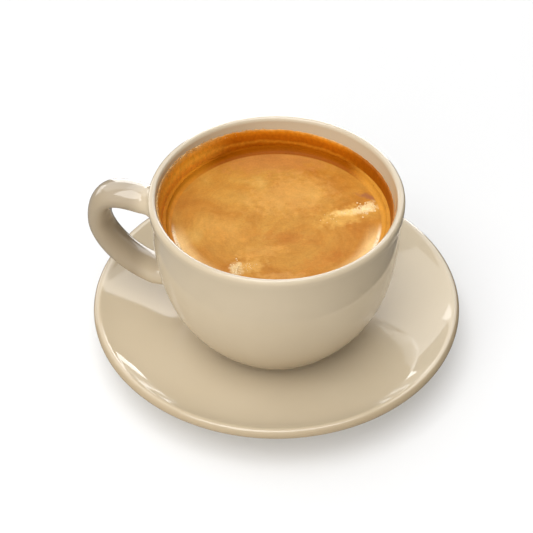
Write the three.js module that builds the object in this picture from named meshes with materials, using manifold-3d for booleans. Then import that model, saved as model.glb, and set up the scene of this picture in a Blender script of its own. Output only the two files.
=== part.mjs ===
// A cup of americano on its saucer, in millimetres, +Z up.
// The origin lies on the cup's axis, in the plane that the saucer stands on.
// The front faces -Y, and the handle points to -X, turned a little to the back.
import * as THREE from 'three';
import { mergeVertices } from 'three/addons/utils/BufferGeometryUtils.js';
import Module from 'manifold-3d';

const wasm = await Module();
wasm.setup();

// Driving dimensions of the saucer.
const SAUCER_RADIUS = 75;
const SAUCER_HEIGHT = 19.5;
const SAUCER_LIP = 2;
const SAUCER_THICKNESS = 4.5;
const SAUCER_WELL_RADIUS = 31;
const SAUCER_WELL_HEIGHT = 7;
const SAUCER_FOOT_RADIUS = 44;
const SAUCER_FOOT_WIDTH = 4.5;
const SAUCER_FOOT_HEIGHT = SAUCER_WELL_HEIGHT - SAUCER_THICKNESS;

// Driving dimensions of the cup, with heights above its own foot.
const CUP_HEIGHT = 68.2;
const CUP_MIDDLE_OF_LIP = 48.8;
const CUP_LIP = 1.6;
const CUP_FOOT_RADIUS = 29.6;
const CUP_FOOT_WIDTH = 4;
const CUP_FOOT_HEIGHT = 1.3;
const CUP_FOOT_RECESS = 1.8;
const CUP_LIP_HEIGHT = CUP_HEIGHT - CUP_LIP;
const CUP_FLARE = 0.18;
const CUP_FLARE_HEIGHT = 50;

// The handle: its middle line, its oval section and its turn about the cup's axis.
const HANDLE_REACH = 73.6;
const HANDLE_REACH_HEIGHT = 43;
const HANDLE_TOP_HEIGHT = 54.7;
const HANDLE_FOOT_HEIGHT = 16.4;
const HANDLE_WIDTH = 15;
const HANDLE_THICKNESS = 9.2;
const HANDLE_TURN = THREE.MathUtils.degToRad( 13 );

// The drink: foam level, foam layer, the curl of foam at the wall and the coated band above it.
const CREMA_LEVEL = 54.3;
const CREMA_THICKNESS = 4;
const CREMA_CURL = 2;
const CREMA_FLAT_RADIUS = 41;
const FILM_TOP = 63.7;
const FILM_THICK = 1.3;
const FILM_THIN = 0.3;
const FILM_LEAN = 2;

// Parts that touch are kept this far apart.
const GAP = 0.3;
const SEGMENTS = 60;

// A profile in radius and height, spun about the vertical axis.
function spun( outline, curveSteps ) {

	const lathe = new THREE.LatheGeometry( outline.getPoints( curveSteps ), SEGMENTS );
	return lathe.rotateX( Math.PI / 2 );

}

// A closed mesh whose shared corners are merged, as a solid that can be joined and cut.
function toSolid( geometry ) {

	geometry.deleteAttribute( 'normal' );
	geometry.deleteAttribute( 'uv' );
	const merged = mergeVertices( geometry, 1e-3 );
	const vertProperties = new Float32Array( merged.attributes.position.array );
	const triVerts = new Uint32Array( merged.index.array );
	return new wasm.Manifold( new wasm.Mesh( { numProp: 3, vertProperties, triVerts } ) );

}

function toGeometry( solid ) {

	const mesh = solid.getMesh();
	const geometry = new THREE.BufferGeometry();
	geometry.setAttribute( 'position', new THREE.BufferAttribute( mesh.vertProperties, 3 ) );
	geometry.setIndex( new THREE.BufferAttribute( mesh.triVerts, 1 ) );
	geometry.computeVertexNormals();
	return geometry;

}

// The saucer: a shallow dish with a rolled lip, on a foot ring.
function saucerGeometry() {

	const footInside = SAUCER_FOOT_RADIUS - SAUCER_FOOT_WIDTH;
	const lipCentre = SAUCER_RADIUS - SAUCER_LIP;
	const lipHeight = SAUCER_HEIGHT - SAUCER_LIP;
	const outline = new THREE.Path();
	outline.moveTo( 0, SAUCER_FOOT_HEIGHT );
	outline.lineTo( footInside - 1, SAUCER_FOOT_HEIGHT );
	outline.lineTo( footInside, 0 );
	outline.lineTo( SAUCER_FOOT_RADIUS, 0 );
	outline.lineTo( SAUCER_FOOT_RADIUS + 1, SAUCER_FOOT_HEIGHT );
	outline.bezierCurveTo( 54, 3.6, 64, 8.5, lipCentre, lipHeight - SAUCER_LIP );
	outline.absarc( lipCentre, lipHeight, SAUCER_LIP, - 0.35 * Math.PI, 0.7 * Math.PI );
	outline.bezierCurveTo( 62, 12, 48, SAUCER_WELL_HEIGHT, SAUCER_WELL_RADIUS, SAUCER_WELL_HEIGHT );
	outline.lineTo( 0, SAUCER_WELL_HEIGHT );
	return toGeometry( toSolid( spun( outline, 7 ) ) );

}

// The bowl's outer side, from the foot to the lip, and its inner side, up to where it flares to the lip.
const OUTER_SIDE = new THREE.CubicBezierCurve(
	new THREE.Vector2( 31, CUP_FOOT_HEIGHT ),
	new THREE.Vector2( 44.3, 16.7 ),
	new THREE.Vector2( 49, 29 ),
	new THREE.Vector2( 49.8, 63.2 ),
);
const INNER_SIDE = new THREE.CubicBezierCurve(
	new THREE.Vector2( 24, 6.2 ),
	new THREE.Vector2( 38.5, 12 ),
	new THREE.Vector2( 41.6, 35.5 ),
	new THREE.Vector2( flaredRadius( CUP_FLARE_HEIGHT ), CUP_FLARE_HEIGHT ),
);

function flaredRadius( height ) {

	return CUP_MIDDLE_OF_LIP - CUP_LIP - CUP_FLARE * ( CUP_LIP_HEIGHT - height );

}

// Radius of the bowl's inside at a height. Below the flare it is found by halving the curve.
function insideRadius( height ) {

	if ( height > CUP_FLARE_HEIGHT ) return flaredRadius( height );
	let low = 0;
	let high = 1;
	for ( let step = 0; step < 30; step ++ ) {

		const middle = ( low + high ) / 2;
		if ( INNER_SIDE.getPoint( middle ).y < height ) low = middle;
		else high = middle;

	}

	return INNER_SIDE.getPoint( low ).x;

}

function bowlSolid() {

	const footInside = CUP_FOOT_RADIUS - CUP_FOOT_WIDTH;
	const outline = new THREE.Path();
	outline.moveTo( 0, CUP_FOOT_RECESS );
	outline.lineTo( footInside - 0.8, CUP_FOOT_RECESS );
	outline.lineTo( footInside, 0 );
	outline.lineTo( CUP_FOOT_RADIUS, 0 );
	outline.lineTo( OUTER_SIDE.v0.x, OUTER_SIDE.v0.y );
	outline.curves.push( OUTER_SIDE );
	outline.currentPoint.copy( OUTER_SIDE.v3 );
	outline.absarc( CUP_MIDDLE_OF_LIP, CUP_LIP_HEIGHT, CUP_LIP, - 0.22 * Math.PI, Math.PI );
	outline.lineTo( INNER_SIDE.v3.x, INNER_SIDE.v3.y );
	outline.bezierCurveTo(
		INNER_SIDE.v2.x, INNER_SIDE.v2.y,
		INNER_SIDE.v1.x, INNER_SIDE.v1.y,
		INNER_SIDE.v0.x, INNER_SIDE.v0.y,
	);
	outline.lineTo( 0, INNER_SIDE.v0.y );
	return toSolid( spun( outline, 9 ) );

}

// A plug that fills the bowl out to the middle of its wall, to trim the handle's roots.
function trimSolid() {

	const middle = ( a, b ) => new THREE.Vector2().addVectors( a, b ).multiplyScalar( 0.5 );
	const bottom = middle( INNER_SIDE.v0, OUTER_SIDE.v0 );
	const low = middle( INNER_SIDE.v1, OUTER_SIDE.v1 );
	const high = middle( INNER_SIDE.v2, OUTER_SIDE.v2 );
	const top = middle( INNER_SIDE.v3, OUTER_SIDE.v3 );
	const outline = new THREE.Path();
	outline.moveTo( 0, bottom.y );
	outline.lineTo( bottom.x, bottom.y );
	outline.bezierCurveTo( low.x, low.y, high.x, high.y, top.x, top.y );
	outline.lineTo( 0, top.y );
	return toSolid( spun( outline, 9 ) );

}

// The handle: an oval section swept from under the lip, round the finger gap and into the bowl's side.
function handleSolid() {

	const line = new THREE.CurvePath();
	line.add( new THREE.CubicBezierCurve3(
		new THREE.Vector3( - 47, 0, HANDLE_TOP_HEIGHT ),
		new THREE.Vector3( - 56, 0, HANDLE_TOP_HEIGHT - 0.8 ),
		new THREE.Vector3( - HANDLE_REACH, 0, HANDLE_REACH_HEIGHT + 21.2 ),
		new THREE.Vector3( - HANDLE_REACH, 0, HANDLE_REACH_HEIGHT ),
	) );
	line.add( new THREE.CubicBezierCurve3(
		new THREE.Vector3( - HANDLE_REACH, 0, HANDLE_REACH_HEIGHT ),
		new THREE.Vector3( - HANDLE_REACH, 0, HANDLE_REACH_HEIGHT - 7.4 ),
		new THREE.Vector3( - 64, 0, HANDLE_FOOT_HEIGHT + 2.9 ),
		new THREE.Vector3( - 44, 0, HANDLE_FOOT_HEIGHT ),
	) );
	line.add( new THREE.LineCurve3(
		new THREE.Vector3( - 44, 0, HANDLE_FOOT_HEIGHT ),
		new THREE.Vector3( - 33, 0, HANDLE_FOOT_HEIGHT - 1.6 ),
	) );
	const section = new THREE.Shape();
	section.absellipse( 0, 0, HANDLE_WIDTH / 2, HANDLE_THICKNESS / 2, 0, 2 * Math.PI );
	const swept = new THREE.ExtrudeGeometry( section, { extrudePath: line, steps: 30, curveSegments: 8 } );
	return toSolid( swept ).subtract( trimSolid() );

}

function cupGeometry() {

	const cup = bowlSolid().add( handleSolid() );
	return toGeometry( cup ).rotateZ( - HANDLE_TURN );

}

// The coffee under the foam, up to the foam's underside.
function coffeeGeometry() {

	const top = CREMA_LEVEL - CREMA_THICKNESS - GAP;
	const bottom = INNER_SIDE.v0.y + GAP;
	const outline = new THREE.Path();
	outline.moveTo( 0, bottom );
	outline.lineTo( INNER_SIDE.v0.x, bottom );
	const rise = top - bottom;
	for ( const share of [ 0.05, 0.15, 0.3, 0.5, 0.75, 1 ] ) {

		const height = bottom + share * rise;
		outline.lineTo( insideRadius( height ) - GAP - 0.1, height );

	}

	outline.lineTo( 0, top );
	return toGeometry( toSolid( spun( outline, 1 ) ) );

}

// One low patch of pale bubbles on the foam: a flattened ball at a place and a turn.
function patchSolid( x, y, length, width, turn ) {

	const patch = new THREE.SphereGeometry( 1, 14, 8 );
	patch.rotateX( Math.PI / 2 );
	patch.scale( length / 2, width / 2, 0.5 );
	patch.rotateZ( turn );
	patch.translate( x, y, CREMA_LEVEL );
	return toSolid( patch );

}

// The foam layer: flat in the middle, curling up where it clings to the wall.
function cremaGeometry() {

	const underside = CREMA_LEVEL - CREMA_THICKNESS;
	const edgeTop = CREMA_LEVEL + CREMA_CURL;
	const edgeRadius = insideRadius( edgeTop ) - GAP;
	const curlRadius = edgeRadius - FILM_THICK;
	const outline = new THREE.Path();
	outline.moveTo( 0, underside );
	outline.lineTo( insideRadius( underside ) - GAP, underside );
	outline.lineTo( edgeRadius, edgeTop );
	outline.lineTo( curlRadius, edgeTop );
	outline.quadraticCurveTo( curlRadius - 0.5, CREMA_LEVEL, CREMA_FLAT_RADIUS, CREMA_LEVEL );
	outline.lineTo( 0, CREMA_LEVEL );
	const foam = toSolid( spun( outline, 4 ) );
	const streak = patchSolid( 30.5, 6.5, 17, 6, 0.3 );
	const nearFront = patchSolid( - 15.5, - 26, 9, 8, 0.2 );
	return toGeometry( foam.add( streak ).add( nearFront ) );

}

// How far the coated band's upper edge stands above its mean: high at the handle, low opposite it.
function filmEdge( angle ) {

	return FILM_LEAN * ( 0.2 * Math.cos( 2 * angle ) - Math.cos( angle ) );

}

// The coated band that the foam left on the wall above the drink, with an uneven upper edge.
function filmGeometry() {

	const bottom = CREMA_LEVEL + CREMA_CURL + GAP;
	const outer = ( height ) => insideRadius( height ) - GAP;
	const middle = ( bottom + FILM_TOP ) / 2;
	const outline = new THREE.Path();
	outline.moveTo( outer( bottom ), bottom );
	outline.lineTo( outer( middle ), middle );
	outline.lineTo( outer( FILM_TOP ), FILM_TOP );
	outline.lineTo( outer( FILM_TOP ) - FILM_THIN, FILM_TOP );
	outline.lineTo( outer( middle ) - ( FILM_THICK + FILM_THIN ) / 2, middle );
	outline.lineTo( outer( bottom ) - FILM_THICK, bottom );
	outline.lineTo( outer( bottom ), bottom );
	const band = spun( outline, 1 );
	const points = band.attributes.position;
	for ( let i = 0; i < points.count; i ++ ) {

		const x = points.getX( i );
		const y = points.getY( i );
		const z = points.getZ( i );
		const rise = filmEdge( Math.atan2( y, x ) ) * ( z - bottom ) / ( FILM_TOP - bottom );
		const wider = 1 + CUP_FLARE * rise / Math.hypot( x, y );
		points.setXYZ( i, x * wider, y * wider, z + rise );

	}

	return toGeometry( toSolid( band ) );

}

function named( name, geometry, color, roughness ) {

	const material = new THREE.MeshStandardMaterial( { color, roughness, metalness: 0 } );
	const mesh = new THREE.Mesh( geometry, material );
	mesh.name = name;
	return mesh;

}

const GLAZE = 0xd2c5aa;

const filledCup = new THREE.Group();
filledCup.position.z = SAUCER_WELL_HEIGHT + GAP;
filledCup.add( named( 'cup', cupGeometry(), GLAZE, 0.15 ) );
filledCup.add( named( 'coffee', coffeeGeometry(), 0x4a2308, 0.1 ) );
filledCup.add( named( 'crema', cremaGeometry(), 0xd8964a, 0.35 ) );
filledCup.add( named( 'wall_film', filmGeometry(), 0xa35a12, 0.3 ) );

const americano = new THREE.Group();
americano.add( named( 'saucer', saucerGeometry(), GLAZE, 0.15 ) );
americano.add( filledCup );

export default americano;
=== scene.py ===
import random
from itertools import pairwise
from math import atan2, cos, hypot, pi, radians, sin

import bpy
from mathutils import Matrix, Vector
from mathutils.geometry import interpolate_bezier


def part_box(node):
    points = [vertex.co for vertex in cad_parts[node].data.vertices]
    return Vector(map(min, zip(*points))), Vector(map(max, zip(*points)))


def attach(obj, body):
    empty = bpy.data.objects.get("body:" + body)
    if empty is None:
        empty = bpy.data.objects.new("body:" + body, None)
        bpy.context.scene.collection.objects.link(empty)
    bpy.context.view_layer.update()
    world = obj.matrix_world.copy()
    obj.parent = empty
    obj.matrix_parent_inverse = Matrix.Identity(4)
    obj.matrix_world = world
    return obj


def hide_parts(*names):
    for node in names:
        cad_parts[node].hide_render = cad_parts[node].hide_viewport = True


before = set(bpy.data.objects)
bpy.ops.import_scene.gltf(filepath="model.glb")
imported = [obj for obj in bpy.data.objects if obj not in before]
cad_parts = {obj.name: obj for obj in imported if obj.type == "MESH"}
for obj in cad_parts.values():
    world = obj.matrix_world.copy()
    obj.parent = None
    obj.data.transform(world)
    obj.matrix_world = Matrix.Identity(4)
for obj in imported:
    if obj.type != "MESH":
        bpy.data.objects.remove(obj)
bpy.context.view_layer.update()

# The saucer: a shallow stoneware dish with a rolled lip, on a foot ring.
# It is drawn as half a section in millimetres and spun, as clay is turned on a wheel,
# and glazed all over in the cup's cream, made paler than on the cup as painted light.
MM = 0.001
saucer_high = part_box("saucer")[1]
SAUCER_RADIUS = saucer_high.x / MM
SAUCER_HEIGHT = saucer_high.z / MM
SAUCER_LIP = 2
SAUCER_WELL = 7
SAUCER_WELL_RADIUS = 31
SAUCER_SLOPE_TOP = (71.82, 19.12)
SAUCER_FOOT = (39.2, 44.3)
SAUCER_FOOT_ROUND = 1
SAUCER_BASE = 2.5
SAME_CORNER = 0.002
CREASE = radians(40)


def bow(start, start_pull, end_pull, end, points):
    """A smooth stretch of outline between two corners, drawn towards two pulls, as radii and heights."""
    corners = [Vector((radius, 0, height)) for radius, height in (start, start_pull, end_pull, end)]
    return [(corner.x, corner.z) for corner in interpolate_bezier(*corners, points)]


def roll(centre, radius, start, end, points):
    """A round stretch of outline from one angle to another, in degrees above the outward direction."""
    angles = [radians(start + (end - start) * step / (points - 1)) for step in range(points)]
    return [(centre[0] + radius * cos(angle), centre[1] + radius * sin(angle)) for angle in angles]


def spun(name, outline, steps):
    """Draws an outline corner by corner from one vertex, spins it round the upright axis and closes it."""
    bpy.ops.object.select_all(action="DESELECT")
    first_radius, first_height = outline[0]
    bpy.ops.mesh.primitive_plane_add(size=MM, location=(first_radius * MM, 0, first_height * MM))
    bpy.ops.object.transform_apply()
    bpy.ops.object.mode_set(mode="EDIT")
    bpy.ops.mesh.merge(type="CENTER")
    for (radius, height), (next_radius, next_height) in pairwise(outline):
        step = ((next_radius - radius) * MM, 0, (next_height - height) * MM)
        bpy.ops.mesh.extrude_vertices_move(TRANSFORM_OT_translate={"value": step})
    bpy.ops.mesh.select_all(action="SELECT")
    bpy.ops.mesh.spin(steps=steps, angle=2 * pi, center=(0, 0, 0), axis=(0, 0, 1))
    bpy.ops.mesh.select_all(action="SELECT")
    bpy.ops.mesh.remove_doubles(threshold=SAME_CORNER * MM)
    bpy.ops.mesh.normals_make_consistent(inside=False)
    bpy.ops.object.mode_set(mode="OBJECT")
    bpy.ops.object.shade_smooth_by_angle(angle=CREASE)
    piece = bpy.context.object
    piece.name = name
    return piece


saucer = spun(
    "saucer_dish",
    [(0, SAUCER_BASE), (SAUCER_FOOT[0] - 0.5, SAUCER_BASE)]
    + roll((SAUCER_FOOT[0] + SAUCER_FOOT_ROUND, SAUCER_FOOT_ROUND), SAUCER_FOOT_ROUND, 180, 270, 6)
    + roll((SAUCER_FOOT[1] - SAUCER_FOOT_ROUND, SAUCER_FOOT_ROUND), SAUCER_FOOT_ROUND, 270, 360, 6)
    + bow((SAUCER_FOOT[1] + 0.7, SAUCER_BASE), (54, 3.6), (64, 8.5), (73, 15.5), 20)
    + roll((SAUCER_RADIUS - SAUCER_LIP, SAUCER_HEIGHT - SAUCER_LIP), SAUCER_LIP, -60, 126, 18)
    + bow(SAUCER_SLOPE_TOP, (62, 12), (48, SAUCER_WELL), (SAUCER_WELL_RADIUS, SAUCER_WELL), 32)[1:]
    + [(0, SAUCER_WELL)],
    steps=160,
)


def colour(code):
    """An sRGB hex colour as the linear colour that a socket takes."""
    shares = [int(code[place : place + 2], 16) / 255 for place in (1, 3, 5)]
    return (*[c / 12.92 if c <= 0.04045 else ((c + 0.055) / 1.055) ** 2.4 for c in shares], 1)


def node(tree, kind, inputs=None, stops=None, **settings):
    """Adds one node: its settings, its inputs as values or links, and the stops of a ramp."""
    made = tree.nodes.new(kind)
    for name, value in settings.items():
        setattr(made, name, value)
    for socket, value in (inputs or {}).items():
        if isinstance(value, bpy.types.NodeSocket):
            tree.links.new(value, made.inputs[socket])
        else:
            made.inputs[socket].default_value = value
    for place, (position, tone) in enumerate(stops or []):
        if place > 1:
            made.color_ramp.elements.new(position)
        made.color_ramp.elements[place].position = position
        made.color_ramp.elements[place].color = tone
    return made


# Cream glazed stoneware, fired: a clear glossy glaze over a cream body.
# The glaze pools a little, so its colour drifts slowly, and its surface has a faint ripple.
# Furthest out it turns darker and browner: painted shade on the saucer's lip and on the cup's handle.
GLAZE_POOL = 28
GLAZE_RIPPLE = 7
# The saucer's lip turns darker and browner between these radii: painted shade.
SAUCER_EDGE_SHADE = (71.6, 74.6)


def glazed_stoneware(name, thin, thick, edge, shade_radii):
    """Cream glazed stoneware between two tones, and a darker third, painted shade, that comes in from one
    radius to another.
    """
    glaze = bpy.data.materials.new(name)
    glaze.use_nodes = True
    tree = glaze.node_tree
    place = node(tree, "ShaderNodeTexCoord").outputs["Object"]
    pools = node(
        tree,
        "ShaderNodeTexNoise",
        {"Vector": place, "Scale": 1 / (GLAZE_POOL * MM), "Detail": 2},
    )
    tone = node(
        tree,
        "ShaderNodeMix",
        {0: pools.outputs["Fac"], 6: colour(thin), 7: colour(thick)},
        data_type="RGBA",
    )
    flat = node(tree, "ShaderNodeVectorMath", {0: place, 1: (1, 1, 0)}, operation="MULTIPLY")
    reach = node(tree, "ShaderNodeVectorMath", {0: flat.outputs["Vector"]}, operation="LENGTH")
    shade_share = node(
        tree,
        "ShaderNodeMapRange",
        {
            "Value": reach.outputs["Value"],
            "From Min": shade_radii[0] * MM,
            "From Max": shade_radii[1] * MM,
        },
        interpolation_type="SMOOTHSTEP",
    )
    shade_painted = node(
        tree,
        "ShaderNodeMix",
        {0: shade_share.outputs["Result"], 6: tone.outputs[2], 7: colour(edge)},
        data_type="RGBA",
    )
    ripple = node(
        tree,
        "ShaderNodeTexNoise",
        {"Vector": place, "Scale": 1 / (GLAZE_RIPPLE * MM), "Detail": 1},
    )
    bump = node(
        tree,
        "ShaderNodeBump",
        {"Height": ripple.outputs["Fac"], "Strength": 0.05, "Distance": 0.2 * MM},
    )
    surface = tree.nodes["Principled BSDF"]
    tree.links.new(shade_painted.outputs[2], surface.inputs["Base Color"])
    tree.links.new(bump.outputs["Normal"], surface.inputs["Normal"])
    surface.inputs["Roughness"].default_value = 0.6
    surface.inputs["Specular IOR Level"].default_value = 0.0
    surface.inputs["Coat Weight"].default_value = 1.0
    surface.inputs["Coat IOR"].default_value = 1.5
    surface.inputs["Coat Roughness"].default_value = 0.03
    return glaze


# The saucer's two tones are paler than the cup's: painted light, for a dish that is lit too dimly.
saucer.data.materials.append(
    glazed_stoneware("cream_glaze_saucer_painted_paler", "#d2c4aa", "#cabba0", "#a69478", SAUCER_EDGE_SHADE)
)
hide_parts("saucer")
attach(saucer, "root")

# The cup: a stoneware bowl on a low foot ring, with a round lip that flares a little.
# The bowl is spun like the saucer. Its heights are counted from its own foot,
# which stands in the saucer's well.
cup_low, cup_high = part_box("cup")
CUP_FOOT = cup_low.z / MM
LIP_RADIUS = cup_high.x / MM
LIP_TOP = cup_high.z / MM - CUP_FOOT
LIP = 1.6
FOOT_RING = (25.2, 29.4)
FOOT_ROUND = 0.8
FOOT_RECESS = 1.8
BELLY_TOP = (49.2, 50)
BOWL_FLOOR = (24, 6.2)
FLARE = 0.18
FLARE_FOOT = 50


def inside(height):
    """Radius of the bowl's flared inside at a height above the cup's foot."""
    return LIP_RADIUS - 2 * LIP - FLARE * (LIP_TOP - LIP - height)


def raised(outline):
    """An outline drawn from the cup's foot, set at its height on the saucer."""
    return [(radius, height + CUP_FOOT) for radius, height in outline]


bowl = spun(
    "cup_bowl",
    raised(
        [(0, FOOT_RECESS), (FOOT_RING[0] - 0.4, FOOT_RECESS)]
        + roll((FOOT_RING[0] + FOOT_ROUND, FOOT_ROUND), FOOT_ROUND, 180, 270, 5)
        + roll((FOOT_RING[1] - FOOT_ROUND, FOOT_ROUND), FOOT_ROUND, 270, 360, 5)
        + bow((31, 1.5), (44.3, 16.7), (48, 28), BELLY_TOP, 36)
        + bow(BELLY_TOP, (49.4, 55), (49.53, 61.16), (50.36, 65.07), 12)[1:]
        + roll((LIP_RADIUS - LIP, LIP_TOP - LIP), LIP, -12, 180, 20)[1:]
        + [(inside(height), height) for height in (64, 61, 58, 55, 52)]
        + bow((inside(FLARE_FOOT), FLARE_FOOT), (41.6, 35.5), (38.5, 12), BOWL_FLOOR, 24)
        + [(0, BOWL_FLOOR[1])]
    ),
    steps=180,
)

# The handle: an oval strap of the same clay, bent into a loop and luted onto the bowl.
# An oval ring is extruded along the middle line of the loop. At each root the last rings
# widen into a fillet laid against the bowl, and the very last one sinks into its wall.
HANDLE_HALF_WIDTH = 7.5
HANDLE_HALF_THICKNESS = 4.6
HANDLE_TURN = radians(13)
HANDLE_BACK = (-73.6, 43)
HANDLE_UPPER = raised(bow((-47, 54.7), (-56, 53.9), (-73.6, 64.2), HANDLE_BACK, 30))
HANDLE_LOWER = raised(bow(HANDLE_BACK, (-73.6, 35.6), (-64, 19.3), (-44, 16.4), 28))
UPPER_ROOT, LOWER_ROOT = -54.2, -48.5
HANDLE_LINE = [point for point in HANDLE_UPPER if point[0] < UPPER_ROOT]
HANDLE_LINE += [point for point in HANDLE_LOWER[1:] if point[0] < LOWER_ROOT]


def heading(points, place):
    """Direction of a line of points at one of them, as an angle in its upright plane."""
    before, after = points[max(place - 1, 0)], points[min(place + 1, len(points) - 1)]
    return atan2(after[1] - before[1], after[0] - before[0])


bpy.ops.object.select_all(action="DESELECT")
middle = Vector((HANDLE_LINE[0][0] * MM, 0, HANDLE_LINE[0][1] * MM))
bpy.ops.mesh.primitive_circle_add(vertices=40, radius=MM, location=middle, rotation=(0, pi / 2, 0))
bpy.ops.object.transform_apply()
handle = bpy.context.object
handle.name = "cup_handle"
bpy.ops.object.mode_set(mode="EDIT")
bpy.ops.mesh.select_all(action="SELECT")
bpy.ops.transform.resize(value=(1, HANDLE_HALF_WIDTH, HANDLE_HALF_THICKNESS), center_override=middle)
for place in range(1, len(HANDLE_LINE)):
    here, there = HANDLE_LINE[place - 1], HANDLE_LINE[place]
    middle = Vector((there[0] * MM, 0, there[1] * MM))
    turn = heading(HANDLE_LINE, place) - (heading(HANDLE_LINE, place - 1) if place > 1 else pi)
    turn = (turn + pi) % (2 * pi) - pi
    step = ((there[0] - here[0]) * MM, 0, (there[1] - here[1]) * MM)
    bpy.ops.mesh.extrude_region_move(TRANSFORM_OT_translate={"value": step})
    bpy.ops.transform.rotate(value=turn, orient_axis="Y", center_override=middle)

# The two roots: each open end of the strap grows ring by ring into a fillet.
# A ring's vertex group lets Shrinkwrap lay just that ring at its distance from the bowl.
UPPER_FILLET, LOWER_FILLET = 4.7, 3.2
FILLET_ANGLES = (0, 20, 40, 55, 70, 80, 90)
ROOT_SUNK = 1.5
RING_STEP = (0.02 * MM, 0, 0)
fillet_rings = []
for side, root, fillet in (
    ("upper", HANDLE_LINE[0], UPPER_FILLET),
    ("lower", HANDLE_LINE[-1], LOWER_FILLET),
):
    middle = Vector((root[0] * MM, 0, root[1] * MM))
    bpy.ops.mesh.select_all(action="DESELECT")
    bpy.ops.mesh.select_non_manifold()
    bpy.ops.object.mode_set(mode="OBJECT")
    near = (HANDLE_HALF_WIDTH + 1) * MM
    end_ring = [v.index for v in handle.data.vertices if v.select and (v.co - middle).length < near]
    bpy.ops.object.mode_set(mode="EDIT")
    bpy.ops.mesh.select_all(action="DESELECT")
    bpy.ops.object.mode_set(mode="OBJECT")
    for vertex in end_ring:
        handle.data.vertices[vertex].select = True
    bpy.ops.object.mode_set(mode="EDIT")
    grown = 0
    for angle in FILLET_ANGLES:
        growth = fillet * (1 - cos(radians(angle)))
        wider = (HANDLE_HALF_WIDTH + growth) / (HANDLE_HALF_WIDTH + grown)
        thicker = (HANDLE_HALF_THICKNESS + growth) / (HANDLE_HALF_THICKNESS + grown)
        bpy.ops.mesh.extrude_region_move(TRANSFORM_OT_translate={"value": RING_STEP})
        bpy.ops.transform.resize(value=(1, wider, thicker), center_override=middle)
        bpy.ops.object.vertex_group_remove_from(use_all_groups=True)
        handle.vertex_groups.new(name=f"{side}_fillet_{angle}")
        bpy.ops.object.vertex_group_assign()
        fillet_rings.append((f"{side}_fillet_{angle}", fillet * (1 - sin(radians(angle)))))
        grown = growth
    bpy.ops.mesh.extrude_region_move(TRANSFORM_OT_translate={"value": RING_STEP})
    bpy.ops.object.vertex_group_remove_from(use_all_groups=True)
    handle.vertex_groups.new(name=f"{side}_sunk")
    bpy.ops.object.vertex_group_assign()
    fillet_rings.append((f"{side}_sunk", -ROOT_SUNK))
    bpy.ops.mesh.edge_face_add()
bpy.ops.mesh.select_all(action="SELECT")
bpy.ops.mesh.normals_make_consistent(inside=False)
bpy.ops.object.mode_set(mode="OBJECT")
for ring, distance in fillet_rings:
    wrap = handle.modifiers.new(ring, "SHRINKWRAP")
    wrap.target = bowl
    wrap.vertex_group = ring
    wrap.wrap_method = "PROJECT"
    wrap.use_project_x = True
    wrap.use_positive_direction = True
    wrap.use_negative_direction = False
    wrap.offset = distance * MM
    bpy.ops.object.modifier_apply(modifier=ring)
handle.vertex_groups.clear()
bpy.ops.object.shade_smooth_by_angle(angle=CREASE)
bpy.ops.transform.rotate(value=HANDLE_TURN, orient_axis="Z", center_override=(0, 0, 0))
bpy.ops.object.transform_apply()
bowl.select_set(True)
bpy.context.view_layer.objects.active = bowl
bpy.ops.object.join()
# From this radius out the handle turns darker and browner: painted shade.
CUP_HANDLE_SHADE = (51.5, 60)
bowl.data.materials.append(
    glazed_stoneware("cream_glazed_cup", "#bdae95", "#b5a58b", "#9c8d76", CUP_HANDLE_SHADE)
)
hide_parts("cup")
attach(bowl, "root")

# The coffee: the drink itself, which fills the bowl from its floor to the foam.
# It is spun to the bowl's inside and reaches just into the wall, so that no air gap shows.
INTO_WALL = 0.4
COFFEE_BOTTOM = 6
COFFEE_TOP = 50.3
coffee_side = bow(BOWL_FLOOR, (38.5, 12), (41.6, 35.5), (44.2, 50), 16)
coffee = spun(
    "coffee_body",
    raised(
        [(0, COFFEE_BOTTOM), (BOWL_FLOOR[0], COFFEE_BOTTOM)]
        + [(radius + INTO_WALL, height) for radius, height in coffee_side]
        + [(inside(COFFEE_TOP) + INTO_WALL, COFFEE_TOP), (0, COFFEE_TOP)]
    ),
    steps=96,
)

# Black coffee: a dark brown, water-like liquid, with slow clouds of fine grounds in it.
BREW_CLOUD = 15
brew = bpy.data.materials.new("black_coffee")
brew.use_nodes = True
brew_tree = brew.node_tree
brew_place = node(brew_tree, "ShaderNodeTexCoord").outputs["Object"]
brew_clouds = node(
    brew_tree,
    "ShaderNodeTexNoise",
    {"Vector": brew_place, "Scale": 1 / (BREW_CLOUD * MM), "Detail": 3},
)
brew_tone = node(
    brew_tree,
    "ShaderNodeMix",
    {0: brew_clouds.outputs["Fac"], 6: colour("#2a1206"), 7: colour("#3d1d0a")},
    data_type="RGBA",
)
brew_surface = brew_tree.nodes["Principled BSDF"]
brew_tree.links.new(brew_tone.outputs[2], brew_surface.inputs["Base Color"])
brew_surface.inputs["Roughness"].default_value = 0.05
brew_surface.inputs["IOR"].default_value = 1.34
coffee.data.materials.append(brew)
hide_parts("coffee")
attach(coffee, "root")

# The crema: the fine golden foam of an espresso, afloat on the coffee.
# It is spun flat, with an edge that climbs the wall a little and reaches just into it.
CREMA_LEVEL = 54.3
CREMA_EDGE = 56.3
CREMA_FLAT = 41
crema = spun(
    "crema_layer",
    raised(
        [(0, COFFEE_TOP), (inside(COFFEE_TOP) + INTO_WALL, COFFEE_TOP)]
        + [(inside(CREMA_EDGE) + INTO_WALL, CREMA_EDGE)]
        + bow((43.75, CREMA_EDGE), (43.3, 54.9), (42.6, CREMA_LEVEL), (CREMA_FLAT, CREMA_LEVEL), 10)
        + [(radius, CREMA_LEVEL) for radius in range(CREMA_FLAT - 2, 0, -2)]
        + [(0, CREMA_LEVEL)]
    ),
    steps=180,
)

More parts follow.
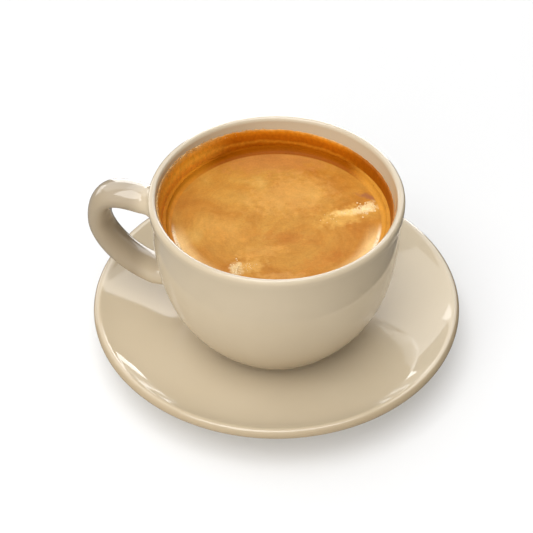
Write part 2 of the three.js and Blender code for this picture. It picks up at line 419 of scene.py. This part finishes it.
# Coffee foam: bubbles far finer than the render shows, so it looks like caramel silk with a soft sheen.
# Slow clouds, arcs left by the pour and small mottles tint it. Its grain is drawn at 0.7 mm,
# coarser than the real one, so that it shows.
FOAM_CLOUD = 19
FOAM_ARC = 1.7
FOAM_MOTTLE = 4.5
FOAM_GRAIN = 0.7
foam = bpy.data.materials.new("golden_coffee_foam")
foam.use_nodes = True
foam_tree = foam.node_tree
foam_place = node(foam_tree, "ShaderNodeTexCoord").outputs["Object"]
foam_side = node(foam_tree, "ShaderNodeSeparateXYZ", {"Vector": foam_place})
foam_clouds = node(
    foam_tree,
    "ShaderNodeTexNoise",
    {"Vector": foam_place, "Scale": 1 / (FOAM_CLOUD * MM), "Detail": 4, "Roughness": 0.55, "Distortion": 0.7},
)
foam_tone = node(
    foam_tree,
    "ShaderNodeValToRGB",
    {"Fac": foam_clouds.outputs["Fac"]},
    stops=[
        (0.3, colour("#a8671e")),
        (0.45, colour("#b2772a")),
        (0.58, colour("#ba8435")),
        (0.72, colour("#c39346")),
    ],
)
foam_flat = node(
    foam_tree,
    "ShaderNodeCombineXYZ",
    {"X": foam_side.outputs["X"], "Y": foam_side.outputs["Y"]},
).outputs["Vector"]
foam_reach = node(foam_tree, "ShaderNodeVectorMath", {0: foam_flat}, operation="LENGTH").outputs["Value"]
foam_way = node(foam_tree, "ShaderNodeVectorMath", {0: foam_flat}, operation="NORMALIZE")
foam_out = node(foam_tree, "ShaderNodeMath", {0: foam_reach, 1: 1 / (FOAM_ARC * MM)}, operation="MULTIPLY")
foam_turned = node(
    foam_tree,
    "ShaderNodeVectorMath",
    {
        0: foam_way.outputs["Vector"],
        1: (5, 5, 5),
        2: node(foam_tree, "ShaderNodeCombineXYZ", {"Z": foam_out.outputs["Value"]}).outputs["Vector"],
    },
    operation="MULTIPLY_ADD",
)
foam_arcs = node(
    foam_tree,
    "ShaderNodeTexNoise",
    {"Vector": foam_turned.outputs["Vector"], "Scale": 1, "Detail": 3, "Roughness": 0.6, "Distortion": 0.5},
)
foam_mottle = node(
    foam_tree,
    "ShaderNodeTexNoise",
    {"Vector": foam_place, "Scale": 1 / (FOAM_MOTTLE * MM), "Detail": 5, "Roughness": 0.72},
)
foam_grain = node(
    foam_tree,
    "ShaderNodeTexNoise",
    {"Vector": foam_place, "Scale": 1 / (FOAM_GRAIN * MM), "Detail": 2},
)
foam_blend = node(
    foam_tree,
    "ShaderNodeMix",
    {0: 0.55, 2: foam_arcs.outputs["Fac"], 3: foam_mottle.outputs["Fac"]},
    data_type="FLOAT",
)
foam_pattern = node(
    foam_tree,
    "ShaderNodeMix",
    {0: 0.3, 2: foam_blend.outputs[0], 3: foam_grain.outputs["Fac"]},
    data_type="FLOAT",
)
foam_light = node(
    foam_tree,
    "ShaderNodeMapRange",
    {"Value": foam_pattern.outputs[0], "From Min": 0.36, "From Max": 0.64, "To Min": 0.84, "To Max": 1.12},
)

# Blots of lighter and darker foam, one of them a painted sheen, and the two patches of coarser froth.
# Each is an oval with a ragged edge: its middle and its half lengths in millimetres, its turn,
# how ragged its edge is, how much of it shows, and its colour.
BLOT_RAGS = 2.4


def blot(tree, place, centre, size, turn, ragged, strength):
    """How much a ragged oval on the foam shows: its strength in the middle, and 0 from its edge outwards."""
    local = node(
        tree,
        "ShaderNodeMapping",
        {
            "Vector": place,
            "Location": (centre[0] * MM, centre[1] * MM, (CUP_FOOT + CREMA_LEVEL) * MM),
            "Rotation": (0, 0, turn),
            "Scale": (size[0] * MM, size[1] * MM, size[1] * MM),
        },
        vector_type="TEXTURE",
    )
    away = node(tree, "ShaderNodeVectorMath", {0: local.outputs["Vector"]}, operation="LENGTH")
    rough = node(tree, "ShaderNodeTexNoise", {"Vector": place, "Scale": 1 / (BLOT_RAGS * MM), "Detail": 3})
    spread = node(
        tree,
        "ShaderNodeMath",
        {0: rough.outputs["Fac"], 1: ragged, 2: away.outputs["Value"]},
        operation="MULTIPLY_ADD",
    )
    return node(
        tree,
        "ShaderNodeMapRange",
        {
            "Value": spread.outputs["Value"],
            "From Min": 0.5 * ragged + 0.2,
            "From Max": 0.5 * ragged + 1.0,
            "To Min": strength,
            "To Max": 0.0,
        },
        interpolation_type="SMOOTHSTEP",
    ).outputs["Result"]


def laid_over(tree, under, over, share):
    """One colour over another, by a share."""
    return node(tree, "ShaderNodeMix", {0: share, 6: under, 7: over}, data_type="RGBA").outputs[2]


foam_colour = foam_tone.outputs["Color"]
for centre, size, turn, ragged, strength, tone in (
    ((-2, 38), (38, 13), 0.0, 1.2, 0.6, "#b8773e"),
    # The pale blot in the middle is a painted sheen: the broad reflection of the light behind.
    ((6, 16), (24, 16), 0.2, 1.3, 0.5, "#d0994f"),
    ((-20, -6), (16, 9), -0.5, 1.6, 0.4, "#cd9243"),
    ((-6, -18), (14, 5), 0.3, 1.8, 0.45, "#d29a4c"),
    ((4, -10), (18, 5), -0.15, 1.8, 0.45, "#ad6620"),
    ((16, -24), (14, 6), 0.5, 1.8, 0.4, "#b36b22"),
    ((2, -32), (14, 3.2), 0.0, 1.6, 0.35, "#d9a55c"),
    ((27, 3), (15, 7), 0.35, 1.5, 0.7, "#d3a250"),
    ((36, 15.2), (5.5, 2.0), -0.35, 1.6, 0.85, "#935a3a"),
    ((28, 5.0), (8, 2.8), 0.15, 1.5, 0.95, "#e3bd76"),
    ((35.6, 7.6), (7, 3.6), 0.6, 1.4, 1.0, "#e8cc98"),
    ((-10.5, -26), (9, 5), 0.1, 1.6, 0.7, "#cf9d50"),
    ((-15.6, -27.6), (3.4, 5.4), 0.0, 1.8, 0.8, "#dcc08c"),
):
    share = blot(foam_tree, foam_place, centre, size, turn, ragged, strength)
    foam_colour = laid_over(foam_tree, foam_colour, colour(tone), share)

# Towards the wall at the front the foam is painted lighter, with a white line where it ends: a painted
# highlight, where the light catches its edge.
# Beyond that line it climbs the wall: dark brown behind as painted shade, and golden to the left and right as
# painted light, like the film above it.
GLINT_FROM = -14
CLIMB_START, CLIMB_END = 41.2, 41.9
foam_front_glint = node(
    foam_tree,
    "ShaderNodeMapRange",
    {"Value": foam_side.outputs["Y"], "From Min": 0, "From Max": GLINT_FROM * MM},
    interpolation_type="SMOOTHSTEP",
).outputs["Result"]
# Painted highlight: a pale band and a white line at the foam's front edge.
for start, end, tone in ((34, CREMA_FLAT, "#f0cb8c"), (39.9, CREMA_FLAT, "#fbeed2")):
    foam_glint_band = node(
        foam_tree,
        "ShaderNodeMapRange",
        {"Value": foam_reach, "From Min": start * MM, "From Max": end * MM, "To Max": 0.85},
        interpolation_type="SMOOTHSTEP",
    ).outputs["Result"]
    foam_glint_band = node(foam_tree, "ShaderNodeMath", {0: foam_glint_band, 1: foam_front_glint}, operation="MULTIPLY")
    foam_colour = laid_over(foam_tree, foam_colour, colour(tone), foam_glint_band.outputs["Value"])
# Painted shade: dark brown in the crease behind; painted light: golden to either side.
foam_climb_light_and_shade = colour("#8f4a02")
for start, end, tone in ((-22, -36, "#c07a1c"), (28, 38, "#c48730")):
    foam_lit_beside = node(
        foam_tree,
        "ShaderNodeMapRange",
        {"Value": foam_side.outputs["X"], "From Min": start * MM, "From Max": end * MM},
        interpolation_type="SMOOTHSTEP",
    ).outputs["Result"]
    foam_climb_light_and_shade = laid_over(foam_tree, foam_climb_light_and_shade, colour(tone), foam_lit_beside)
foam_climb = node(
    foam_tree,
    "ShaderNodeMapRange",
    {"Value": foam_reach, "From Min": CLIMB_START * MM, "From Max": CLIMB_END * MM},
    interpolation_type="SMOOTHSTEP",
).outputs["Result"]
foam_colour = laid_over(foam_tree, foam_colour, foam_climb_light_and_shade, foam_climb)
foam_mottled = node(
    foam_tree,
    "ShaderNodeVectorMath",
    {0: foam_colour, "Scale": foam_light.outputs["Result"]},
    operation="SCALE",
)

# The foam's face is uneven: fine bubbles, and the same mottles as in its colour.
FOAM_BUBBLE = 0.8
FOAM_RELIEF = 0.15
foam_bubbles = node(
    foam_tree,
    "ShaderNodeTexVoronoi",
    {"Vector": foam_place, "Scale": 1 / (FOAM_BUBBLE * MM)},
)
foam_relief = node(
    foam_tree,
    "ShaderNodeMath",
    {0: foam_bubbles.outputs["Distance"], 1: 0.5, 2: foam_pattern.outputs[0]},
    operation="MULTIPLY_ADD",
)
foam_bump = node(
    foam_tree,
    "ShaderNodeBump",
    {"Height": foam_relief.outputs["Value"], "Strength": 0.22, "Distance": FOAM_RELIEF * MM},
)
foam_surface = foam_tree.nodes["Principled BSDF"]
foam_tree.links.new(foam_mottled.outputs["Vector"], foam_surface.inputs["Base Color"])
foam_tree.links.new(foam_bump.outputs["Normal"], foam_surface.inputs["Normal"])
foam_surface.inputs["Roughness"].default_value = 0.42
foam_surface.inputs["IOR"].default_value = 1.34
foam_surface.inputs["Specular IOR Level"].default_value = 0.08
crema.data.materials.append(foam)
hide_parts("crema")
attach(crema, "root")

# The larger bubbles: glossy beads of froth that stand half out of the crema.
# One bead is modelled, and copies of it lie in the two pale patches and along the front edge, where the
# highlight is painted.
# Their skin is milk-coloured foam, wet and smooth, and its tone changes every few bubbles.
SKIN_CLOUD = 1.2
BEAD_HEIGHT = 0.7
bubble_skin = bpy.data.materials.new("milky_bubble_skin")
bubble_skin.use_nodes = True
skin_tree = bubble_skin.node_tree
skin_place = node(skin_tree, "ShaderNodeTexCoord").outputs["Object"]
skin_cloud = node(
    skin_tree,
    "ShaderNodeTexNoise",
    {"Vector": skin_place, "Scale": 1 / (SKIN_CLOUD * MM), "Detail": 1},
)
skin_tone = node(
    skin_tree,
    "ShaderNodeMix",
    {0: skin_cloud.outputs["Fac"], 6: colour("#cfa968"), 7: colour("#ecd9b0")},
    data_type="RGBA",
)
skin_surface = skin_tree.nodes["Principled BSDF"]
skin_tree.links.new(skin_tone.outputs[2], skin_surface.inputs["Base Color"])
skin_surface.inputs["Roughness"].default_value = 0.15
skin_surface.inputs["IOR"].default_value = 1.34


def beads(name, material, spots):
    """Copies of one bead at spots, each a place and a radius in millimetres, joined into one piece."""
    bpy.ops.object.select_all(action="DESELECT")
    bpy.ops.mesh.primitive_uv_sphere_add(segments=8, ring_count=5, radius=MM)
    bead = bpy.context.object
    bpy.ops.object.shade_smooth()
    copies = []
    for place, radius in spots:
        copy = bead.copy()
        copy.data = bead.data.copy()
        copy.location = Vector(place) * MM
        copy.scale = (radius, radius, radius * BEAD_HEIGHT)
        bpy.context.collection.objects.link(copy)
        copies.append(copy)
    bpy.data.objects.remove(bead)
    for copy in copies:
        copy.select_set(True)
    bpy.context.view_layer.objects.active = copies[0]
    bpy.ops.object.join()
    bpy.ops.object.transform_apply()
    joined = bpy.context.object
    joined.name = name
    joined.data.materials.append(material)
    return joined


# Five loose heaps of beads, each thickest in its middle, and two rows along the front edge with the painted
# highlight.
random.seed(11)
FOAM_FACE = CUP_FOOT + CREMA_LEVEL
HEAP_REACH = 40.6
spots = []
for centre, spread, turn, count, sizes in (
    ((36.2, 7.8), (2.3, 1.4), 0.6, 110, (0.2, 0.42)),
    ((30, 5.4), (2.8, 0.7), 0.2, 26, (0.12, 0.28)),
    ((21.5, 1.8), (2.2, 1.2), 0.2, 10, (0.12, 0.22)),
    ((-15.6, -27.8), (1.2, 2.1), 0.0, 60, (0.16, 0.36)),
    ((-11, -26), (2.6, 1.2), 0.0, 18, (0.12, 0.25)),
):
    for _ in range(count):
        along, across = random.gauss(0, spread[0]), random.gauss(0, spread[1])
        x = centre[0] + along * cos(turn) - across * sin(turn)
        y = centre[1] + along * sin(turn) + across * cos(turn)
        if hypot(x, y) < HEAP_REACH:
            spots.append(((x, y, FOAM_FACE), random.uniform(*sizes)))
for start, end, count in ((188, 236, 110), (306, 346, 80)):
    for _ in range(count):
        angle = radians(random.uniform(start, end))
        reach = random.triangular(39.8, 41.6, CREMA_FLAT)
        climb = max(0, reach - CREMA_FLAT) ** 2 * 0.25
        place = (reach * cos(angle), reach * sin(angle), FOAM_FACE + climb)
        spots.append((place, random.uniform(0.12, 0.34)))
froth = beads("crema_bubbles", bubble_skin, spots)
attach(froth, "root")

# The film: foam and coffee that cling to the wall above the crema, highest by the handle,
# where the cup was last tipped. A ring of the wall's radius is raised row by row.
FILM_FOOT = 55.6
FILM_TOP = 63.7
FILM_TILT = 2
FILM_ROWS = 16
FILM_OFF_WALL = 0.5
bpy.ops.object.select_all(action="DESELECT")
bpy.ops.mesh.primitive_circle_add(
    vertices=240,
    radius=(inside(FILM_FOOT) - FILM_OFF_WALL) * MM,
    location=(0, 0, (CUP_FOOT + FILM_FOOT) * MM),
)
bpy.ops.object.transform_apply()
film = bpy.context.object
film.name = "coffee_film"
film.vertex_groups.new(name="edge")
bpy.ops.object.mode_set(mode="EDIT")
bpy.ops.mesh.select_all(action="SELECT")
rise = (FILM_TOP - FILM_FOOT) / FILM_ROWS
lean = atan2(FILM_TILT, inside(FILM_TOP)) / FILM_ROWS
for row in range(FILM_ROWS):
    bpy.ops.mesh.extrude_region_move(TRANSFORM_OT_translate={"value": (0, 0, rise * MM)})
    lift = (CUP_FOOT + FILM_FOOT + (row + 1) * rise) * MM
    bpy.ops.transform.rotate(value=-lean, orient_axis="Y", center_override=(0, 0, lift))
    bpy.context.scene.tool_settings.vertex_group_weight = (row + 1) / FILM_ROWS
    bpy.ops.object.vertex_group_assign()
bpy.ops.object.mode_set(mode="OBJECT")

# Its edge is frayed, more so towards the top. Then the ring is laid on the wall and given its thickness.
FRAY_SIZE = 1.6
FRAY_HEIGHT = 1.0
FILM_THICKNESS = 0.6
FILM_CREASE = radians(60)
film_noise = bpy.data.textures.new("film_edge", "CLOUDS")
film_noise.noise_scale = FRAY_SIZE * MM
film_noise.noise_depth = 2
fray = film.modifiers.new("fray", "DISPLACE")
fray.texture = film_noise
fray.direction = "Z"
fray.vertex_group = "edge"
fray.mid_level = 0.5
fray.strength = FRAY_HEIGHT * MM
bpy.ops.object.modifier_apply(modifier="fray")
cling = film.modifiers.new("cling", "SHRINKWRAP")
cling.target = bowl
cling.wrap_method = "NEAREST_SURFACEPOINT"
cling.wrap_mode = "ON_SURFACE"
cling.offset = FILM_THICKNESS / 2 * MM
bpy.ops.object.modifier_apply(modifier="cling")
thick = film.modifiers.new("thick", "SOLIDIFY")
thick.thickness = FILM_THICKNESS * MM
thick.offset = -1
bpy.ops.object.modifier_apply(modifier="thick")
bpy.ops.object.mode_set(mode="EDIT")
bpy.ops.mesh.select_all(action="SELECT")
bpy.ops.mesh.normals_make_consistent(inside=False)
bpy.ops.object.mode_set(mode="OBJECT")
bpy.ops.object.shade_smooth_by_angle(angle=FILM_CREASE)

# Coffee clinging to glaze: brown orange and wet, in bands that the falling level left,
# with a paler frothy fringe. Behind it is darkest; towards the handle it is lighter and golden as painted
# light.
FILM_WANDER = 5
FILM_SWAY = 2.0
FILM_RUN = 1.5
FILM_RELIEF = 0.15
dried = bpy.data.materials.new("clinging_coffee_film")
dried.use_nodes = True
dried_tree = dried.node_tree
dried_place = node(dried_tree, "ShaderNodeTexCoord").outputs["Object"]
dried_side = node(dried_tree, "ShaderNodeSeparateXYZ", {"Vector": dried_place})
dried_level = node(
    dried_tree,
    "ShaderNodeMath",
    {0: dried_side.outputs["X"], 1: FILM_TILT / inside(FILM_TOP), 2: dried_side.outputs["Z"]},
    operation="MULTIPLY_ADD",
)
dried_wander = node(
    dried_tree,
    "ShaderNodeTexNoise",
    {"Vector": dried_place, "Scale": 1 / (FILM_WANDER * MM), "Detail": 4, "Roughness": 0.65},
)
dried_uneven = node(
    dried_tree,
    "ShaderNodeMath",
    {0: dried_wander.outputs["Fac"], 1: FILM_SWAY * MM, 2: dried_level.outputs["Value"]},
    operation="MULTIPLY_ADD",
)
dried_share = node(
    dried_tree,
    "ShaderNodeMapRange",
    {
        "Value": dried_uneven.outputs["Value"],
        "From Min": (CUP_FOOT + FILM_FOOT + 1) * MM,
        "From Max": (CUP_FOOT + FILM_TOP + 1) * MM,
    },
).outputs["Result"]


def banded(stops):
    """The film's colour from its foot to its edge."""
    tones = [(share, colour(tone)) for share, tone in stops]
    return node(dried_tree, "ShaderNodeValToRGB", {"Fac": dried_share}, stops=tones).outputs["Color"]


dried_back = banded(
    (
        (0.0, "#964a04"),
        (0.16, "#9c4f04"),
        (0.3, "#ba7018"),
        (0.42, "#a05205"),
        (0.66, "#ae5b08"),
        (0.84, "#c87614"),
        (0.94, "#d8953e"),
        (1.0, "#d8b078"),
    )
)
# Towards the handle: a lighter, golden copy of the bands, painted light.
dried_lit_left = banded(
    (
        (0.0, "#e2902a"),
        (0.12, "#ec9c30"),
        (0.35, "#f2ae3c"),
        (0.6, "#e69a2c"),
        (0.85, "#e6a84c"),
        (1.0, "#e8c890"),
    )
)
dried_right = banded(((0.0, "#a4681c"), (0.18, "#945006"), (0.8, "#984e06"), (1.0, "#b47434")))
dried_lit_leftward = node(
    dried_tree,
    "ShaderNodeMapRange",
    {"Value": dried_side.outputs["X"], "From Min": -16 * MM, "From Max": -38 * MM},
    interpolation_type="SMOOTHSTEP",
).outputs["Result"]
dried_rightward = node(
    dried_tree,
    "ShaderNodeMapRange",
    {"Value": dried_side.outputs["X"], "From Min": 22 * MM, "From Max": 38 * MM},
    interpolation_type="SMOOTHSTEP",
).outputs["Result"]
dried_tone = laid_over(dried_tree, dried_back, dried_lit_left, dried_lit_leftward)
dried_tone = laid_over(dried_tree, dried_tone, dried_right, dried_rightward)
dried_runs = node(
    dried_tree,
    "ShaderNodeTexNoise",
    {"Vector": dried_place, "Scale": 1 / (FILM_RUN * MM), "Detail": 3, "Roughness": 0.7},
)
dried_shade = node(
    dried_tree,
    "ShaderNodeMapRange",
    {"Value": dried_runs.outputs["Fac"], "From Min": 0.3, "From Max": 0.7, "To Min": 0.82, "To Max": 1.15},
)
dried_mottled = node(
    dried_tree,
    "ShaderNodeVectorMath",
    {0: dried_tone, "Scale": dried_shade.outputs["Result"]},
    operation="SCALE",
)
dried_bump = node(
    dried_tree,
    "ShaderNodeBump",
    {"Height": dried_runs.outputs["Fac"], "Strength": 0.3, "Distance": FILM_RELIEF * MM},
)
dried_surface = dried_tree.nodes["Principled BSDF"]
dried_tree.links.new(dried_mottled.outputs["Vector"], dried_surface.inputs["Base Color"])
dried_tree.links.new(dried_bump.outputs["Normal"], dried_surface.inputs["Normal"])
dried_surface.inputs["Roughness"].default_value = 0.35
dried_surface.inputs["Specular IOR Level"].default_value = 0.1
dried_surface.inputs["IOR"].default_value = 1.4
film.data.materials.append(dried)
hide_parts("wall_film")
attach(film, "root")

# The fringe of the film: small golden bubbles of foam, left at its edge behind and towards the handle.
# They are copies of a bead as in the crema, half sunk in the film, in the same skin but browner.
FRINGE_BUBBLES = 260
FRINGE_TOP = 0.4
FRINGE_DEPTH = 2.6
FRINGE_OFF_WALL = 0.32
fringe_skin = bubble_skin.copy()
fringe_skin.name = "golden_bubble_skin"
for link in fringe_skin.node_tree.links:
    if link.to_socket.name == "Base Color":
        link.from_node.inputs[6].default_value = colour("#bb7a2c")
        link.from_node.inputs[7].default_value = colour("#dcae6c")
spots = []
for _ in range(FRINGE_BUBBLES):
    angle = random.triangular(88, 205, 150)
    edge = FILM_TOP - FILM_TILT * cos(radians(angle)) + FRINGE_TOP
    height = edge - random.triangular(0, FRINGE_DEPTH, 0.2)
    reach = inside(height) - FRINGE_OFF_WALL
    place = (reach * cos(radians(angle)), reach * sin(radians(angle)), CUP_FOOT + height)
    spots.append((place, random.uniform(0.12, 0.3)))
fringe = beads("film_bubbles", fringe_skin, spots)
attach(fringe, "root")

# The floor: a plain pale table top, wide enough that no view shows its rim. It is matt and glows
# faintly, like a light table, and it is kept out of the glaze's mirror image, which would turn chalky.
bpy.ops.object.select_all(action="DESELECT")
bpy.ops.mesh.primitive_plane_add(size=8)
floor = bpy.context.object
floor.name = "table_top"
table = bpy.data.materials.new("white_table")
table.use_nodes = True
table_surface = table.node_tree.nodes["Principled BSDF"]
table_surface.inputs["Base Color"].default_value = colour("#c9c9c9")
table_surface.inputs["Roughness"].default_value = 0.9
table_surface.inputs["Emission Color"].default_value = (1, 1, 1, 1)
table_surface.inputs["Emission Strength"].default_value = 0.2
floor.data.materials.append(table)
floor.visible_glossy = False

# The light: a white room, brightest overhead and dark at both sides, which draws the ceramic's edges.
# Two soft boxes at the front only light the object, and the panels are seen only in its glaze.
ROOM_LOW, ROOM_HIGH = 0.3, 1.6
ROOM_SIDE = 0.05
ROOM_SHIFT = 0.28
LAMP_AIM = Vector((0, 0, 0.05))
room = bpy.data.worlds.new("white_room")
room.use_nodes = True
room_tree = room.node_tree
room_way = node(
    room_tree,
    "ShaderNodeSeparateXYZ",
    {"Vector": node(room_tree, "ShaderNodeTexCoord").outputs["Generated"]},
)
room_aside = node(room_tree, "ShaderNodeMath", {0: room_way.outputs["X"], 1: ROOM_SHIFT}, operation="ADD")
room_side = node(room_tree, "ShaderNodeMath", {0: room_aside.outputs["Value"]}, operation="ABSOLUTE")
room_dark = node(
    room_tree,
    "ShaderNodeMapRange",
    {
        "Value": room_side.outputs["Value"],
        "From Min": 0.3,
        "From Max": 0.95,
        "To Min": 1,
        "To Max": ROOM_SIDE,
    },
)
room_high = node(
    room_tree,
    "ShaderNodeMapRange",
    {"Value": room_way.outputs["Z"], "From Min": 0, "From Max": 1, "To Min": ROOM_LOW, "To Max": ROOM_HIGH},
)
room_strength = node(
    room_tree,
    "ShaderNodeMath",
    {0: room_dark.outputs["Result"], 1: room_high.outputs["Result"]},
    operation="MULTIPLY",
)
room_tree.nodes["Background"].inputs["Color"].default_value = (1, 1, 1, 1)
room_tree.links.new(room_strength.outputs["Value"], room_tree.nodes["Background"].inputs["Strength"])
bpy.context.scene.world = room
for name, place, size, power, mirrored in (
    ("box_front", (-0.2, -0.4, 1.3), (1.4, 1.0), 11.2, False),
    ("box_low", (-0.45, -1.0, 0.35), (1.4, 0.5), 5.4, False),
    ("panel_behind", (0, 1.25, 1.05), (3.0, 1.5), 24, True),
    ("panel_right", (0.55, 1.15, 0.85), (1.0, 1.7), 9, True),
    ("panel_centre", (0.08, 1.2, 0.12), (0.85, 0.95), 12, True),
    ("panel_above", (-0.1, 0.1, 1.3), (1.0, 0.6), 11, True),
    ("panel_low", (-1.08, 1.1, 0.27), (0.7, 0.52), 3.4, True),
):
    bpy.ops.object.light_add(type="AREA", location=place)
    lamp = bpy.context.object
    lamp.name = name
    lamp.data.shape = "RECTANGLE"
    lamp.data.size, lamp.data.size_y = size
    lamp.data.energy = power
    lamp.visible_camera = False
    lamp.visible_diffuse = not mirrored
    lamp.visible_glossy = mirrored
    lamp.rotation_euler = (LAMP_AIM - Vector(place)).to_track_quat("-Z", "Y").to_euler()

# The camera looks down at 43 degrees from the front. The cup's axis stands 10 of 533 picture points
# right of the middle, which the shift gives.
PICTURE_WIDTH = 533
AXIS_ASIDE = 10
CAMERA_TILT = radians(46.96)
bpy.ops.object.camera_add(location=(0, -0.56, 0.56), rotation=(CAMERA_TILT, 0, 0))
camera = bpy.context.object
camera.data.lens = 127.9
camera.data.shift_x = -AXIS_ASIDE / PICTURE_WIDTH
bpy.context.scene.camera = camera
bpy.context.scene.view_settings.view_transform = "Standard"
